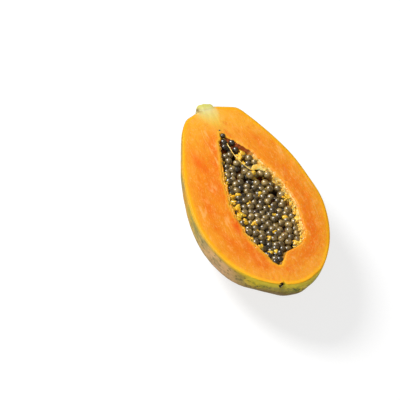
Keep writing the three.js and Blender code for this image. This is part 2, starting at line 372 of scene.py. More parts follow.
def distanceTo(edges, points):
    # how far flat points lie from the outline that the edges make
    line = np.vstack([edges[:, :2], edges[::-1, ::2], edges[:1, :2]])
    best = np.full(len(points), 1e9)
    for start, end in zip(line[:-1], line[1:]):
        span = end - start
        length = max(span @ span, 1e-9)
        t = np.clip(((points - start) @ span) / length, 0, 1)
        gap = points - start - t[:, None] * span
        best = np.minimum(best, (gap ** 2).sum(1))
    return np.sqrt(best)


def fruitLoops(rim, hole):
    # one loop per station: from the back's middle over the left rim, into the cavity, and out
    # again, with what each of its points lies on
    turn = np.linspace(0, np.pi, fruit["backSteps"] + 1)
    ridge = 1 + fruit["ridgeHeight"] * np.cos(fruit["ridgeCount"] * (turn - np.pi / 2))
    back = halfRing(rim, turn, fruit["backDepth"], ridge)
    wall = halfRing(hole, np.linspace(0, np.pi, fruit["wallSteps"] + 1), cavity["depth"])
    share = 0.5 - 0.5 * np.cos(np.linspace(0, np.pi, fruit["faceSteps"] + 1))[1:-1, None]
    right = back[:, :1] + (wall[:, :1] - back[:, :1]) * share
    left = back[:, -1:] + (wall[:, -1:] - back[:, -1:]) * share
    half = fruit["backSteps"] // 2
    strips = [back[:, half:], left, wall[:, ::-1], right[:, ::-1], back[:, :half]]
    kinds = np.repeat(["back", "cut", "wall", "cut", "back"], [strip.shape[1] for strip in strips])
    return np.concatenate(strips, 1), kinds, back[:, 0]


def shapeBack(points, flat, depth, onBack, onWall):
    # slight dents, folds that run into the blossom end, and its bulges and crease
    along, across = flat.T
    tipAway = along - fruit["rim"][-1][0]
    spin = np.arctan2(depth + 1e-6, across)
    folds = fruit["foldDepth"] * np.exp(-((tipAway / fruit["foldReach"]) ** 2))
    folds = folds * np.cos(fruit["foldCount"] * spin) * smoothStep(1, 6, depth)
    dents = fruit["dents"] * lumps(points, 13, 12) * smoothStep(0, 5, depth)
    outward = points * (0, 1, 1)
    outward /= np.linalg.norm(outward, axis=1)[:, None] + 1e-9
    points += outward * np.where(onBack, dents - folds, 0)[:, None]
    swell = np.zeros(len(points))
    for *middle, radius, height in fruit["bulges"]:
        away = np.linalg.norm(points - middle, axis=1) / radius
        swell += height * np.exp(-(away ** 2))
    swell *= np.where(onBack, np.minimum(depth / fruit["bulgeFade"], 1), 0)
    outward = points - fruit["bulgeMiddle"]
    points += outward / np.linalg.norm(outward, axis=1)[:, None] * swell[:, None]
    crease, width, reach, fall = fruit["crease"]
    pinch = np.exp(-(((across - crease) / width) ** 2) - (depth / fall) ** 2)
    points[:, 0] -= reach * pinch * smoothStep(-14, -1, tipAway) * ~onWall


def makeFruit(flesh, skin):
    rim = smoothPath(fruit["rim"], fruit["stations"])
    hole = raggedCavity()
    loops, kinds, edge = fruitLoops(rim, hole)
    count, size = loops.shape[:2]
    points = loops.reshape(-1, 3)
    onBack, onCut, onWall = (np.tile(kinds == kind, count) for kind in ("back", "cut", "wall"))
    flat = points[:, :2].copy()
    along, across = flat.T
    depth = -points[:, 2]
    fromSkin, fromCavity = distanceTo(rim, flat), distanceTo(hole, flat)

    # the cut face has rounded edges and the slight unevenness that a knife leaves
    rounding = fruit["edgeRound"] * (
        np.exp(-((fromSkin / 0.5) ** 2)) + 1.3 * np.exp(-((fromCavity / 0.6) ** 2))
    )
    relief = fruit["unevenness"] * lumps(points, 16, 5) + 0.06 * lumps(points, 3.5, 8)
    points[:, 2] += np.where(onCut, relief * smoothStep(0, 4, fromSkin) - rounding, 0)
    points[:, 2] -= np.where(onWall, fruit["edgeRound"] * 1.3 * np.exp(-depth / 0.8), 0)

    shapeBack(points, flat, depth, onBack, onWall)
    points[:, 2] = np.maximum(points[:, 2], -fruitOrigin[2])  # flat where it lies on the floor

    faces = loopFaces(count, size)
    isSkin = [all(onBack[i] for i in face) for face in faces]
    piece = makePiece("papayaHalf", points, faces, [flesh, skin], isSkin)

    # what the materials read of each point
    def fleshSpot(x, y, length, width, strength):
        return strength * np.exp(-(((along - x) / length) ** 2 + ((across - y) / width) ** 2))

    bruises = np.max([fleshSpot(*bruise) for bruise in fruit["bruises"]], axis=0)
    wedge, halo = wedgeMasks(flat)
    tipAway = along - fruit["rim"][-1][0]
    tipLine = np.exp(-(((across - fruit["crease"][0]) / 0.7) ** 2)) * smoothStep(-13, -4, tipAway)
    tip = smoothStep(*fruit["tipSpan"], along)
    pale = smoothStep(5, -25, across) * smoothStep(*fruit["paleSpan"], along) * smoothStep(0.5, 4, depth)
    normals = np.empty(len(points) * 3, np.float32)
    piece.data.vertex_normals.foreach_get("vector", normals)
    marks = {
        "alongStem": along,
        "belowCut": depth,
        "fromSkin": np.where(onBack, 0, fromSkin),
        "fromCavity": np.where(onWall, 0, fromCavity),
        "stemWedge": np.where(onBack, 0, wedge),
        "wedgeHalo": np.where(onBack, 0, halo),
        "stemCrease": np.where(onBack, 0, fleshSpot(*fruit["stemCrease"])),
        "bruise": np.where(onCut, bruises, 0),
        "tipLine": np.where(onCut, tipLine, 0),
        # the cavity's edge is yellow on the left, and hardly so on the right
        "lipTint": 0.25 + 0.65 * smoothStep(8, -3, across),
        "pale": pale,
        "towardTip": tip,
        # painted shade: how far the skin faces the floor, starting a little sooner at the blossom end
        "paintedUnderShade": smoothStep(0.13 * tip - 0.34, 0.18 * tip - 0.66, normals[2::3]),
    }
    for name, values in marks.items():
        addAttribute(piece, name, values)
    # length along the outline and distance from it, so that streaks can follow it
    outer = np.concatenate([[0], np.cumsum(np.linalg.norm(np.diff(edge, axis=0), axis=1))])
    side = np.where(across < 0, 400.0, 0.0)  # keeps the two sides' streaks apart
    flow = np.stack([np.repeat(outer, size) + side, fromSkin, depth], 1)
    addAttribute(piece, "flow", flow, "FLOAT_VECTOR")
    print("fruit:", len(points), "points")
    return piece


stub = {
    # along, middle, half width; what lies beyond rootEnd is a wedge drawn on the flesh
    "sections": [
        (-3, -4.7, 4.9), (-1.9, -4.8, 6.2), (0.3, -5.4, 7.3), (3.5, -5.6, 8), (8, -4.7, 6.8),
        (13, -3.6, 5), (19.3, -1.4, 2.2), (24, -0.2, 0.7),
    ],
    "rootEnd": 8.1,
    "depth": 0.9,  # as a share of the half width
    "stations": 40,
    "steps": 40,
    "topSteps": 19,
    "topRise": 0.35,
    "sink": 0.75,  # of its root into the cut face
    "roughEnd": 0.5,
    "bark": 0.22,
}


def wedgeMasks(flat):
    # the wedge that runs from the stub into the flesh, and the paler flesh round it
    path = smoothPath(stub["sections"], 120)
    middle = np.interp(flat[:, 0], path[:, 0], path[:, 1])
    width = np.interp(flat[:, 0], path[:, 0], path[:, 2])
    side = (flat[:, 1] - middle) / (width + 0.8)
    wisps = 0.12 * lumps(np.column_stack([flat * (0.5, 1.4), np.zeros(len(flat))]), 3, 44)
    right = smoothStep(1.25, 0.7, side + wisps)
    left = smoothStep(1.9, 0.2, wisps - side)
    halo = smoothStep(9, 0.5, np.abs(flat[:, 1] - middle) - width) * smoothStep(48, 24, flat[:, 0])
    return right * left * smoothStep(36, 21, flat[:, 0]), 0.9 * halo


def makeStub(material):
    rows = [row for row in stub["sections"] if row[0] <= stub["rootEnd"]]
    edges = smoothPath([(a, m - w, m + w) for a, m, w in rows], stub["stations"])
    under = halfRing(edges, np.linspace(0, np.pi, stub["steps"] + 1), stub["depth"])
    share = np.linspace(0, 1, stub["topSteps"] + 1)[1:-1]
    top = under[:, -1:] + (under[:, :1] - under[:, -1:]) * share[:, None]
    half = stub["steps"] // 2
    loops = np.concatenate([under[:, half:], top, under[:, :half]], 1)
    size = loops.shape[1]
    isTop = np.zeros(size, bool)
    isTop[stub["steps"] - half : stub["steps"] - half + len(share) + 2] = True
    points = loops.reshape(-1, 3)
    onTop = np.tile(isTop, len(edges))
    along, across = points[:, 0].copy(), points[:, 1].copy()
    # a low rounded top that sinks into the cut face, and a rough broken end
    halfWidth = (edges[:, 2] - edges[:, 1]).repeat(size) / 2
    centre = (edges[:, 1] + edges[:, 2]).repeat(size) / 2
    bulge = stub["topRise"] * (1 - ((across - centre) / halfWidth) ** 2) + 0.12 * lumps(points, 2.2, 4)
    points[:, 2] += np.where(onTop, bulge, 0)
    points[:, 2] -= stub["sink"] * smoothStep(0.5, 5, along)
    points[:, 0] += smoothStep(-1.2, -3, along) * stub["roughEnd"] * lumps(points, 2.5, 6, 3)
    bark = np.where(onTop, 0, stub["bark"] * lumps(points, 3, 2, 3))
    points[:, 1:] += bark[:, None]
    piece = makePiece("stemStub", points, loopFaces(len(edges), size), [material])
    addAttribute(piece, "cutFace", np.maximum(onTop, smoothStep(-2.2, -2.7, along)))
    addAttribute(piece, "alongStem", along)
    left = smoothStep(centre - halfWidth * 0.5, centre - halfWidth * 0.9, across)
    # painted shade in the crease on the stub's left side, near its root
    addAttribute(piece, "crease", np.exp(-(((along - 1.6) / 1.6) ** 2)) * left)
    print("stub:", len(points), "points")
    return piece


membrane = {
    "gap": 0.12,  # between the flesh and the lining
    "thickness": 1.0,
    "lumps": 0.45,
    "steps": 30,
    "draw": 7,
    # the long strand over the seeds: along, across, up
    "strand": [
        (29.5, -1.5, -1.4), (33.5, 0, -1.7), (41, 0.7, -1.8), (48, 2.1, -1.8), (54, 4.2, -1.9),
        (59, 7.3, -2.1), (62.3, 10.2, -2.4), (60.5, 14, -2.7), (60.5, 18.5, -3.2), (63.5, 24.5, -3.8),
    ],
    "strandRadius": 0.36,
    "flap": 2.7,  # half width of its broad end
    # clumps of soft tongues: along, side, how far they reach over the seeds
    "clumps": [
        (51, -1, 2), (64, -1, 2.6), (74, -1, 5), (85, -1, 3.5), (92, -1, 5.5), (97, -1, 6),
        (104, -1, 6), (113, -1, 2.5), (124, -1, 3.5), (131, -1, 5), (52, 1, 4), (67, 1, 3),
        (76, 1, 3), (91, 1, 7), (100, 1, 3), (111, 1, 6), (119, 1, 6), (130, 1, 6), (134, 1, 8),
        (139, 1, 4),
    ],
    "clumpTongues": 4,
    "smallTongues": 34,  # more of them along the right wall
    # the seam under the left edge: where it runs, its half width, and where it comes to it
    "seamSpan": (36, 147),
    "seamWidth": 0.75,
    "seamGrows": (48, 66),
}


def makeLining():
    # a thin cup that lines the cavity and is open at the cut
    hole = raggedCavity()
    turn = np.linspace(0, np.pi, membrane["steps"] + 1)
    middle = (hole[:, 1] + hole[:, 2]) / 2
    centre = hole[:, 0].mean()
    reach = hole[-1, 0] - centre

    def shell(inset):
        edges = hole.copy()
        edges[:, 1] = np.minimum(hole[:, 1] + inset, middle - 0.15)
        edges[:, 2] = np.maximum(hole[:, 2] - inset, middle + 0.15)
        edges[:, 0] = centre + (hole[:, 0] - centre) * (1 - inset / reach)
        return halfRing(edges, turn, cavity["depth"])

    outer = shell(membrane["gap"])
    inner = shell(membrane["gap"] + membrane["thickness"])
    # thin at its top edge, and lumpy lower down
    full = smoothStep(0.3, 3, -inner[:, :, 2])[..., None]
    inner = outer + (inner - outer) * (0.15 + 0.85 * full)
    bump = membrane["lumps"] * lumps(inner.reshape(-1, 3), 3, 21, 3).reshape(inner.shape[:2])
    toMiddle = inner * (0, 1, 1) - np.array([0, 6, 0])
    toMiddle /= np.linalg.norm(toMiddle, axis=2)[..., None]
    inner = inner + toMiddle * bump[..., None] * full
    drop = 0.5 + 1.5 * np.abs(lumps(inner[:, 0], 2.2, 22, 3))
    for grid in (outer, inner):
        grid[:, :, 2] -= drop[:, None] * np.exp(grid[:, :, 2] / 1.5)
    half = membrane["steps"] // 2
    loops = np.concatenate([outer[:, half:], inner[:, ::-1], outer[:, :half]], 1)
    return loops.reshape(-1, 3), loopFaces(len(hole), loops.shape[1])


def makeTongue(draw, along, side, reach, depth):
    # a soft flat tongue from the wall, which droops over the nearest seeds
    edges = cavityEdges(along, depth)
    wall = edges[0] if side < 0 else edges[1]
    lean = draw.uniform(-0.7, 0.7) * reach
    length = reach * draw.uniform(0.55, 1.05)
    path = smoothPath([
        (along, wall - side * 0.1, -depth),
        (along + lean * 0.4, wall - side * length * 0.5, -depth - draw.uniform(0, 0.5)),
        (along + lean, wall - side * length, -depth - draw.uniform(0.5, 1.6)),
    ], 14)
    share = np.linspace(0, 1, len(path))
    waves = 1 + 0.35 * np.sin(share * draw.uniform(5, 11) + draw.uniform(0, 6))
    width = draw.uniform(0.35, 1) * min(reach * 0.45, 2.1) * (1 - 0.35 * share) * waves
    width *= np.sqrt(np.clip((1.04 - share) / 0.2, 0.05, 1))
    return rodMesh(path, width, width * 0.22 + 0.2)


def makeTongues():
    draw = np.random.default_rng(membrane["draw"])
    tongues = []
    for along, side, reach in membrane["clumps"]:
        for _ in range(membrane["clumpTongues"]):
            # those of the right wall hang lower
            place = along + draw.normal(0, 1.4)
            length = reach * draw.uniform(0.4, 1)
            depth, lower = draw.uniform((1.2, 0), (2.6, 2.5))
            tongues.append(makeTongue(draw, place, side, length, depth + lower * (side > 0)))
    for along in np.linspace(50, 143, membrane["smallTongues"]):
        depth = draw.uniform(2.0, 6.5)
        tongues.append(makeTongue(draw, along + draw.normal(0, 1), 1, draw.uniform(2, 4.2), depth))
    return tongues


def makeSeam():
    # a ragged seam of soft tissue under the cavity's left edge
    hole = raggedCavity()
    along = np.linspace(*membrane["seamSpan"], 170)
    left = np.interp(along, hole[:, 0], hole[:, 1])
    wave = lumps(np.stack([along, left, 0 * along], 1), 5, 71, 3)
    path = np.stack([along, left + 0.45 + 0.4 * wave, -0.9 - 0.25 * wave], 1)
    width = np.maximum(membrane["seamWidth"] + 1.2 * lumps(path, 4.5, 72, 2), 0.15)
    taper = np.sin(np.pi * np.linspace(0.01, 0.99, len(along))) ** 0.3
    width *= taper * (0.2 + 0.8 * smoothStep(*membrane["seamGrows"], along))
    return rodMesh(path, width, 0.6 * width)


def makeStrand():
    # the long thin strand, which ends in a flap
    path = smoothPath(membrane["strand"], 70)
    share = np.linspace(0, 1, len(path))
    path[:, 1] += 0.3 * lumps(path, 7, 31, 2)
    thread = membrane["strandRadius"] * (1 + 0.3 * lumps(path, 3, 32, 2))
    flap = membrane["flap"] * smoothStep(0.64, 0.8, share) * (1 + 0.3 * lumps(path, 3, 33, 2))
    height = membrane["strandRadius"] * (1 + 0.3 * smoothStep(0.6, 1, share))
    return rodMesh(path, thread + flap, height, 14)


def makeMembrane(wall, pulp, cream, seam):
    lining, liningFaces = makeLining()
    soft = [*makeTongues(), makeSeam()]
    # slots: every other tongue on the right is cream, as the strand is, and the seam has its own
    kinds = [2 if index % 2 and part[0][0][1] > 3 else 1 for index, part in enumerate(soft)]
    kinds[-1] = 3
    tongueSlots = np.repeat(kinds, [len(part[1]) for part in soft])
    tongues, tongueFaces = joinMeshes(soft)
    tongues = tongues + lumps(tongues, 1.6, 25, 2)[:, None] * (0.12, 0.22, 0.22)
    strand, strandFaces = makeStrand()
    slots = np.concatenate([
        np.zeros(len(liningFaces), int), tongueSlots, np.full(len(strandFaces), 2),
    ])
    points, faces = joinMeshes([(lining, liningFaces), (tongues, tongueFaces), (strand, strandFaces)])
    piece = makePiece("membraneLining", points, faces, [wall, pulp, cream, seam], slots)
    addAttribute(piece, "belowCut", -points[:, 2])
    # the bare wall near the stem, painted deep red partly as shade of the pocket there
    addAttribute(piece, "bareTip", smoothStep(52, 44, points[:, 0]))
    addAttribute(piece, "bareEnd", smoothStep(130, 139, points[:, 0]))
    print("membrane:", len(points), "points")
    return piece


threads = {
    "count": 90,
    "draw": 29,
    "span": (48, 146),  # where they are, along
    "depth": (0.6, 3.5),  # where they start under the cut face
    "drift": 3.2,
    "length": (2, 5.5),
    "width": (0.12, 0.3),
    "steps": 9,
    "sides": 6,
}


def makeThreadTree():
    # drawn lines turned into thin round threads
    nodes, given, result, sockets = newTree(
        "threads", "GeometryNodeTree",
        {"Geometry": "Geometry", "Sides": 6, "Material": "Material"}, {"Geometry": "Geometry"},
    )
    curve = nodes.out("GeometryNodeMeshToCurve", {"Mesh": given["Geometry"]})
    width = nodes.out("GeometryNodeInputNamedAttribute", {"Name": "width"}, data_type="FLOAT")
    sized = nodes.out("GeometryNodeSetCurveRadius", {"Curve": curve, "Radius": width})
    ring = nodes.out("GeometryNodeCurvePrimitiveCircle", {"Resolution": given["Sides"], "Radius": 1.0})
    tube = nodes.out("GeometryNodeCurveToMesh", {
        "Curve": sized, "Profile Curve": ring, "Fill Caps": True, "Scale": width,
    })
    real = nodes.out("GeometryNodeRealizeInstances", {"Geometry": tube})
    finished = nodes.out("GeometryNodeSetMaterial", {"Geometry": real, "Material": given["Material"]})
    nodes.fill(result, {"Geometry": finished})
    return nodes.tree, sockets


def makeThreads(material):
    # fine pale threads that cling to the right wall and run down to the seeds
    draw = np.random.default_rng(threads["draw"])
    points, edges, widths = [], [], []
    for _ in range(threads["count"]):
        along = draw.uniform(*threads["span"])
        depth = draw.uniform(*threads["depth"])
        drift = draw.normal(0, threads["drift"])
        length = draw.uniform(*threads["length"])
        width = draw.uniform(*threads["width"])
        for step in range(threads["steps"]):
            share = step / (threads["steps"] - 1)
            down = depth + length * share
            place = along + drift * share + 0.5 * math.sin(6 * share + depth)
            wall = cavityEdges(place, down)[1] - membrane["thickness"] - 0.25
            lift = 0.5 * math.sin(math.pi * share)
            if step:
                edges.append((len(points) - 1, len(points)))
            points.append((place, wall - lift, -down))
            widths.append(width * (1 - 0.5 * abs(2 * share - 1)))
    mesh = bpy.data.meshes.new("wallThreads")
    mesh.from_pydata(toScene(points).tolist(), edges, [])
    piece = addObject("wallThreads", mesh)
    addAttribute(piece, "width", np.array(widths) / 1000)
    makePlain(piece, *makeThreadTree(), {"Sides": threads["sides"], "Material": material})
    smoothShade(piece.data)
    print("threads:", len(piece.data.polygons), "faces")
    return piece


seeds = {
    "count": 150,
    "radius": 2.65,
    "stretch": 1.14,
    "sizeSpread": 0.1,
    "spacing": 1.12,  # how far apart they push each other, in radii
    "draw": 43,
    "rounds": 120,
    "coreTop": -5.7,
    "coreFall": 0.07,  # of the core's top towards the right
    "sink": (0.3, 3),
    "span": (32, 147),
    "room": 1.7,  # to the cavity's wall
    # hollows in the bunch: along, across, radius
    "hollows": [(67, 3, 6), (77, 3, 5), (84, 21, 4.5), (100, 3, 4.5), (116, 16, 5)],
    "hollowDepth": 2.2,
    "bareHollow": 1.5,  # where a hollow is deeper than this, its seeds are gone
    # how far the seeds at the right wall lie over to it, and up along it
    "lean": (1.6, 0.9),
    # dark seeds in the narrow stem end, the smallest in the flesh: along, across, up, size
    "tip": [
        (23.6, -2.1, 0.05, 0.24), (28.6, -1, -0.6, 0.75), (33.4, -1.6, -2.6, 0.95),
        (37.4, -2.6, -3.4, 0.9), (34.6, 4.6, -2.6, 0.95), (40.5, 6.1, -4.4, 0.9),
    ],
    # the last ones, in the point of the blossom end
    "last": [(141.1, 2.1, -2.4, 0.95), (146.6, -0.3, -1.9, 0.92), (148.1, -4.5, -2.0, 0.85)],
    # seeds that stand out next to those of the stem end
    "near": [
        (45.2, -4.4, -5, 0.95), (44.1, 0, -5, 0.95), (46.5, 10.3, -4.6, 0.9), (50.2, 13.2, -4, 1),
        (54.5, 11, -5.4, 0.95), (54.6, 16, -4, 0.8), (49.8, -3.4, -5, 1), (52.7, 2.6, -5.5, 1),
        (58.1, -3.4, -5, 1.05), (61.8, 5.8, -4.8, 1), (65.7, 8.5, -4.4, 1.08), (65.4, 17.5, -4.5, 1),
        (68.2, 21.6, -3.8, 1),
    ],
    "apart": 3.6,  # what comes nearer to a placed seed than this is left out
    # seeds under the others, which are painted dark as shade: how many, and how far from those above and
    # from each other
    "deepCount": 36,
    "deepApart": (3.1, 4.2),
    "segments": 12,
    "rings": 8,
    "taper": 0.08,
}


def coreHeight(across):
    return seeds["coreTop"] - seeds["coreFall"] * (across - cavitySides[0])


def hollowAt(x, y):
    # how much deeper a seed lies in the hollows of the bunch
    shares = []
    for along, across, radius in seeds["hollows"]:
        t = min(math.hypot(x - along, y - across) / radius, 1)
        shares.append(1 - t * t * (3 - 2 * t))
    return seeds["hollowDepth"] * max(shares)


def pushApart(one, other):
    dx, dy, dz = other[0] - one[0], other[1] - one[1], other[2] - one[2]
    distance = math.sqrt(dx * dx + dy * dy + dz * dz)
    overlap = (one[3] + other[3]) * seeds["spacing"] - distance
    if overlap > 0:
        share = overlap / 2 / distance
        one[0] -= dx * share
        one[1] -= dy * share
        other[0] += dx * share
        other[1] += dy * share


def keepInside(seed):
    margin = seeds["room"] + seed[3]
    seed[0] = min(max(seed[0], seeds["span"][0]), seeds["span"][1])
    seed[2] = coreHeight(seed[1]) + seed[3] - seed[4] - hollowAt(seed[0], seed[1])
    left, right = cavityEdges(seed[0], -seed[2])
    middle = (left + right) / 2
    seed[1] = max(seed[1], min(left + margin, middle))
    seed[1] = min(seed[1], max(right - margin, middle))


def spreadSeeds():
    # the same rule as the solids: random places that push each other apart over the core
    draw = seededRandom(seeds["draw"])
    low, high = seeds["span"]
    sinkLow, sinkHigh = seeds["sink"]
    leftmost, rightmost = cavitySides
    found = []
    while len(found) < seeds["count"]:
        radius = seeds["radius"] * (1 + seeds["sizeSpread"] * (2 * draw() - 1))
        sink = sinkLow + (sinkHigh - sinkLow) * draw()
        x = low + (high - low) * draw()
        y = leftmost + (rightmost - leftmost) * draw()
        left, right = cavityEdges(x, 0)
        if left < y < right:
            found.append([x, y, 0.0, radius, sink])
    for _ in range(seeds["rounds"]):
        for index, one in enumerate(found):
            for other in found[index + 1:]:
                pushApart(one, other)
        for seed in found:
            keepInside(seed)
    return np.array(found)


def deepSeeds(draw, top):
    # seeds under the others, where there is room between them; makeSeeds paints them dark as shade
    deep = []
    underTop, fromOthers = seeds["deepApart"]
    for _ in range(20000):
        if len(deep) == seeds["deepCount"]:
            break
        x = draw.uniform(*seeds["span"])
        y = draw.uniform(*cavitySides)
        spot = np.array([x, y, coreHeight(y) + draw.uniform(-2, -0.4) - hollowAt(x, y)])
        left, right = cavityEdges(x, -spot[2])
        near = np.linalg.norm(top[:, :3] - spot, axis=1).min()
        apart = min([np.linalg.norm(spot - other[:3]) for other in deep] or [99])
        if left + 4 < y < right - 4 and near > underTop and apart > fromOthers:
            deep.append([*spot, seeds["radius"] * draw.uniform(0.9, 1.02), 0])
    return np.array(deep)


def makeSeedTree():
    # one egg shape on every point, with the size, turn and tint that the point carries
    nodes, given, result, sockets = newTree("seedScatter", "GeometryNodeTree", {
        "Geometry": "Geometry", "Segments": 12, "Rings": 8, "Taper": 0.1, "Lumps": 0.0,
        "Material": "Material",
    }, {"Geometry": "Geometry"})
    ball = nodes.out("GeometryNodeMeshUVSphere", {
        "Segments": given["Segments"], "Rings": given["Rings"], "Radius": 1.0,
    })
    place = nodes.out("GeometryNodeInputPosition")
    x, y, z = nodes.add("ShaderNodeSeparateXYZ", {0: place}).outputs
    narrow = nodes.math("MULTIPLY_ADD", z, nodes.times(given["Taper"], -1.0), 1.0)
    egg = nodes.out("ShaderNodeCombineXYZ", {0: nodes.times(x, narrow), 1: nodes.times(y, narrow), 2: z})
    shape = nodes.out("GeometryNodeSetPosition", {"Geometry": ball, "Position": egg})
    marked = nodes.out("GeometryNodeStoreNamedAttribute", {
        "Geometry": shape, "Name": "seedPlace", "Value": place,
    }, data_type="FLOAT_VECTOR", domain="POINT")
    size, turn = (
        nodes.out("GeometryNodeInputNamedAttribute", {"Name": name}, data_type="FLOAT_VECTOR")
        for name in ("size", "turn")
    )
    placed = nodes.out("GeometryNodeInstanceOnPoints", {
        "Points": given["Geometry"], "Instance": marked,
        "Rotation": nodes.out("FunctionNodeEulerToRotation", {0: turn}), "Scale": size,
    })
    real = nodes.out("GeometryNodeRealizeInstances", {"Geometry": placed})
    # a noise pushes the surface in and out, for pieces that aren't smooth
    grain = nodes.add("ShaderNodeTexNoise", {
        "Vector": nodes.out("GeometryNodeInputPosition"), "Scale": 330.0, "Detail": 1.0,
    }).outputs["Color"]
    centred = nodes.out("ShaderNodeVectorMath", {0: grain, 1: (0.5, 0.5, 0.5)}, operation="SUBTRACT")
    push = nodes.out("ShaderNodeVectorMath", {0: centred, "Scale": given["Lumps"]}, operation="SCALE")
    rough = nodes.out("GeometryNodeSetPosition", {"Geometry": real, "Offset": push})
    smooth = nodes.out("GeometryNodeSetShadeSmooth", {"Geometry": rough})
    finished = nodes.out("GeometryNodeSetMaterial", {"Geometry": smooth, "Material": given["Material"]})
    nodes.fill(result, {"Geometry": finished})
    return nodes.tree, sockets


def scatter(name, places, sizes, turns, tints, values):
    mesh = bpy.data.meshes.new(name)
    mesh.from_pydata(toScene(places).tolist(), [], [])
    piece = addObject(name, mesh)
    addAttribute(piece, "size", np.asarray(sizes) / 1000, "FLOAT_VECTOR")
    addAttribute(piece, "turn", turns, "FLOAT_VECTOR")
    addAttribute(piece, "tint", tints)
    makePlain(piece, seedTree, seedSockets, values)
    print(name + ":", len(places), "copies,", len(piece.data.polygons), "faces")
    return piece


def makeSeeds(material):
    # returns the piece and the seeds that show, for what lies on them
    draw = np.random.default_rng(5)
    placed = np.array([
        (x, y, z, seeds["radius"] * size, 0)
        for x, y, z, size in seeds["tip"] + seeds["last"] + seeds["near"]
    ])
    top = spreadSeeds()
    # those at the right wall lean on it
    edges = np.array([cavityEdges(x, -z) for x, _, z in top[:, :3]])
    lean = smoothStep(0.55, 1, (top[:, 1] - edges[:, 0]) / (edges[:, 1] - edges[:, 0]))
    top[:, 1:3] += lean[:, None] * seeds["lean"]
    clear = [
        np.linalg.norm(placed[:, :3] - seed[:3], axis=1).min() > seeds["apart"]
        and hollowAt(seed[0], seed[1]) < seeds["bareHollow"] for seed in top
    ]
    top = np.vstack([placed, top[clear]])
    bunch = np.vstack([top, deepSeeds(draw, top)])
    count = len(bunch)
    radius = bunch[:, 3]
    sizes = np.stack([
        radius * 1.06, radius * draw.uniform(1, 1.1, count), radius * seeds["stretch"],
    ], 1)
    turns = np.stack([
        math.pi / 2 + draw.normal(0, 0.5, count), draw.uniform(-0.5, 0.5, count),
        draw.uniform(0, 6.28, count),
    ], 1)
    # painted light and shade: high seeds are paler and the seeds under the others dark; those at the two
    # ends are darker seeds
    height = bunch[:, 2] - coreHeight(bunch[:, 1])
    tints = 0.3 + 0.2 * height + draw.normal(0, 0.2, count)
    tints -= 0.3 * smoothStep(66, 50, bunch[:, 0]) + 0.4 * smoothStep(122, 138, bunch[:, 0])
    tints[: len(seeds["tip"] + seeds["last"])] = 0
    # painted shade on the seeds under the others
    tints[len(top):] = 0
    values = {
        "Segments": seeds["segments"], "Rings": seeds["rings"], "Taper": seeds["taper"],
        "Material": material,
    }
    return scatter("seedBunch", bunch[:, :3], sizes, turns, np.clip(tints, 0, 1), values), top


sacs = {
    "draw": 17,
    # empty yellow seed sacs between the seeds: along, across
    "empty": [
        (43, 9.5), (45.5, 7), (49.5, 6.5), (54, 7.5), (47, 8.5), (52, 8.5), (66, 11), (83, 10.5),
        (90, -2), (104, 12), (107, 21), (111, -6), (116.5, -7), (124, 1.5), (120, 8), (137, 1.5),
        (137.5, -3), (82, -8), (131, -7),
    ],
    # crumpled tissue at the cavity's edges: along, across, down
    "crumples": [
        (68, -14.4, 2), (84, -15.8, 1.4), (87, -14.4, 2), (91, -16, 1.4), (93, -13.6, 2),
        (97, -14.8, 1.5), (101, -12.8, 2), (104, -15, 1.4), (109, -14, 1.8), (133, -9.4, 1.8),
        (90, 30.4, 3), (106, 30.4, 3), (112, 28.6, 3.2), (133, 19.4, 3),
    ],
    "folds": 3,  # shapes that make up one sac or crumple
    "bits": 80,
    # smallest and largest half sizes of each kind
    "emptySizes": ((1.5, 1.1, 0.8), (2.7, 2, 1.3)),
    "crumpleSizes": ((1.6, 0.9, 0.5), (3, 1.7, 0.9)),
    "wallSizes": ((1.2, 0.7, 0.4), (2.6, 1.5, 0.8)),
    "bitSizes": ((0.7, 0.5, 0.4), (1.8, 1.1, 0.9)),
    "segments": 14,
    "rings": 9,
    "taper": 0.3,
    "lumps": 0.0016,
}


def makeSacs(top, material):
    # crumpled empty sacs on the seeds, soft bits at the walls, and small bits in the gaps
    draw = np.random.default_rng(sacs["draw"])
    spots, sizes = [], []
    for along, across in sacs["empty"]:
        for _ in range(sacs["folds"]):
            x, y = along + draw.normal(0, 0.8), across + draw.normal(0, 0.8)
            near = np.linalg.norm(top[:, :2] - (x, y), axis=1)
            nearest = top[near.argmin()]
            cover = math.sqrt(max(nearest[3] ** 2 - near.min() ** 2, 0))
            spots.append((x, y, nearest[2] + cover))
            sizes.append(draw.uniform(*sacs["emptySizes"]))
    for along, across, down in sacs["crumples"]:
        for _ in range(sacs["folds"]):
            x, y = along + draw.normal(0, 1.3), across + draw.normal(0, 0.7)
            spots.append((x, y, -down - draw.uniform(0, 0.8)))
            sizes.append(draw.uniform(*sacs["crumpleSizes"]))
    for along, side, reach in membrane["clumps"]:
        if side > 0:
            continue
        for _ in range(round(reach * 0.6)):
            x = along + draw.normal(0, 2)
            share = draw.uniform(0, 1) ** 1.4
            down = 2 + 2.2 * share + draw.uniform(0, 1)
            spots.append((x, cavityEdges(x, down)[0] + (0.6 + share * reach), -down))
            sizes.append(draw.uniform(*sacs["wallSizes"]))
    for _ in range(sacs["bits"]):
        x, y = draw.uniform(50, 146), draw.uniform(*cavitySides)
        left, right = cavityEdges(x, 6)
        near = np.linalg.norm(top[:, :2] - (x, y), axis=1).min()
        if left + 2 < y < right - 2 and near > 2.2:
            spots.append((x, y, coreHeight(y) + draw.uniform(0, 1.4) - hollowAt(x, y)))
            sizes.append(draw.uniform(*sacs["bitSizes"]))
    turns = draw.normal(0, (0.3, 0.3, 3), (len(spots), 3))
    values = {
        "Segments": sacs["segments"], "Rings": sacs["rings"], "Taper": sacs["taper"],
        "Lumps": sacs["lumps"], "Material": material,
    }
    return scatter("emptySacs", spots, sizes, turns, np.ones(len(spots)), values)


bed = {
    "span": (30, 148),
    "stations": 100,
    "steps": 41,
    "lumps": 0.9,
    "sink": 1.2,  # under the core's top
    "thickness": 3,
}


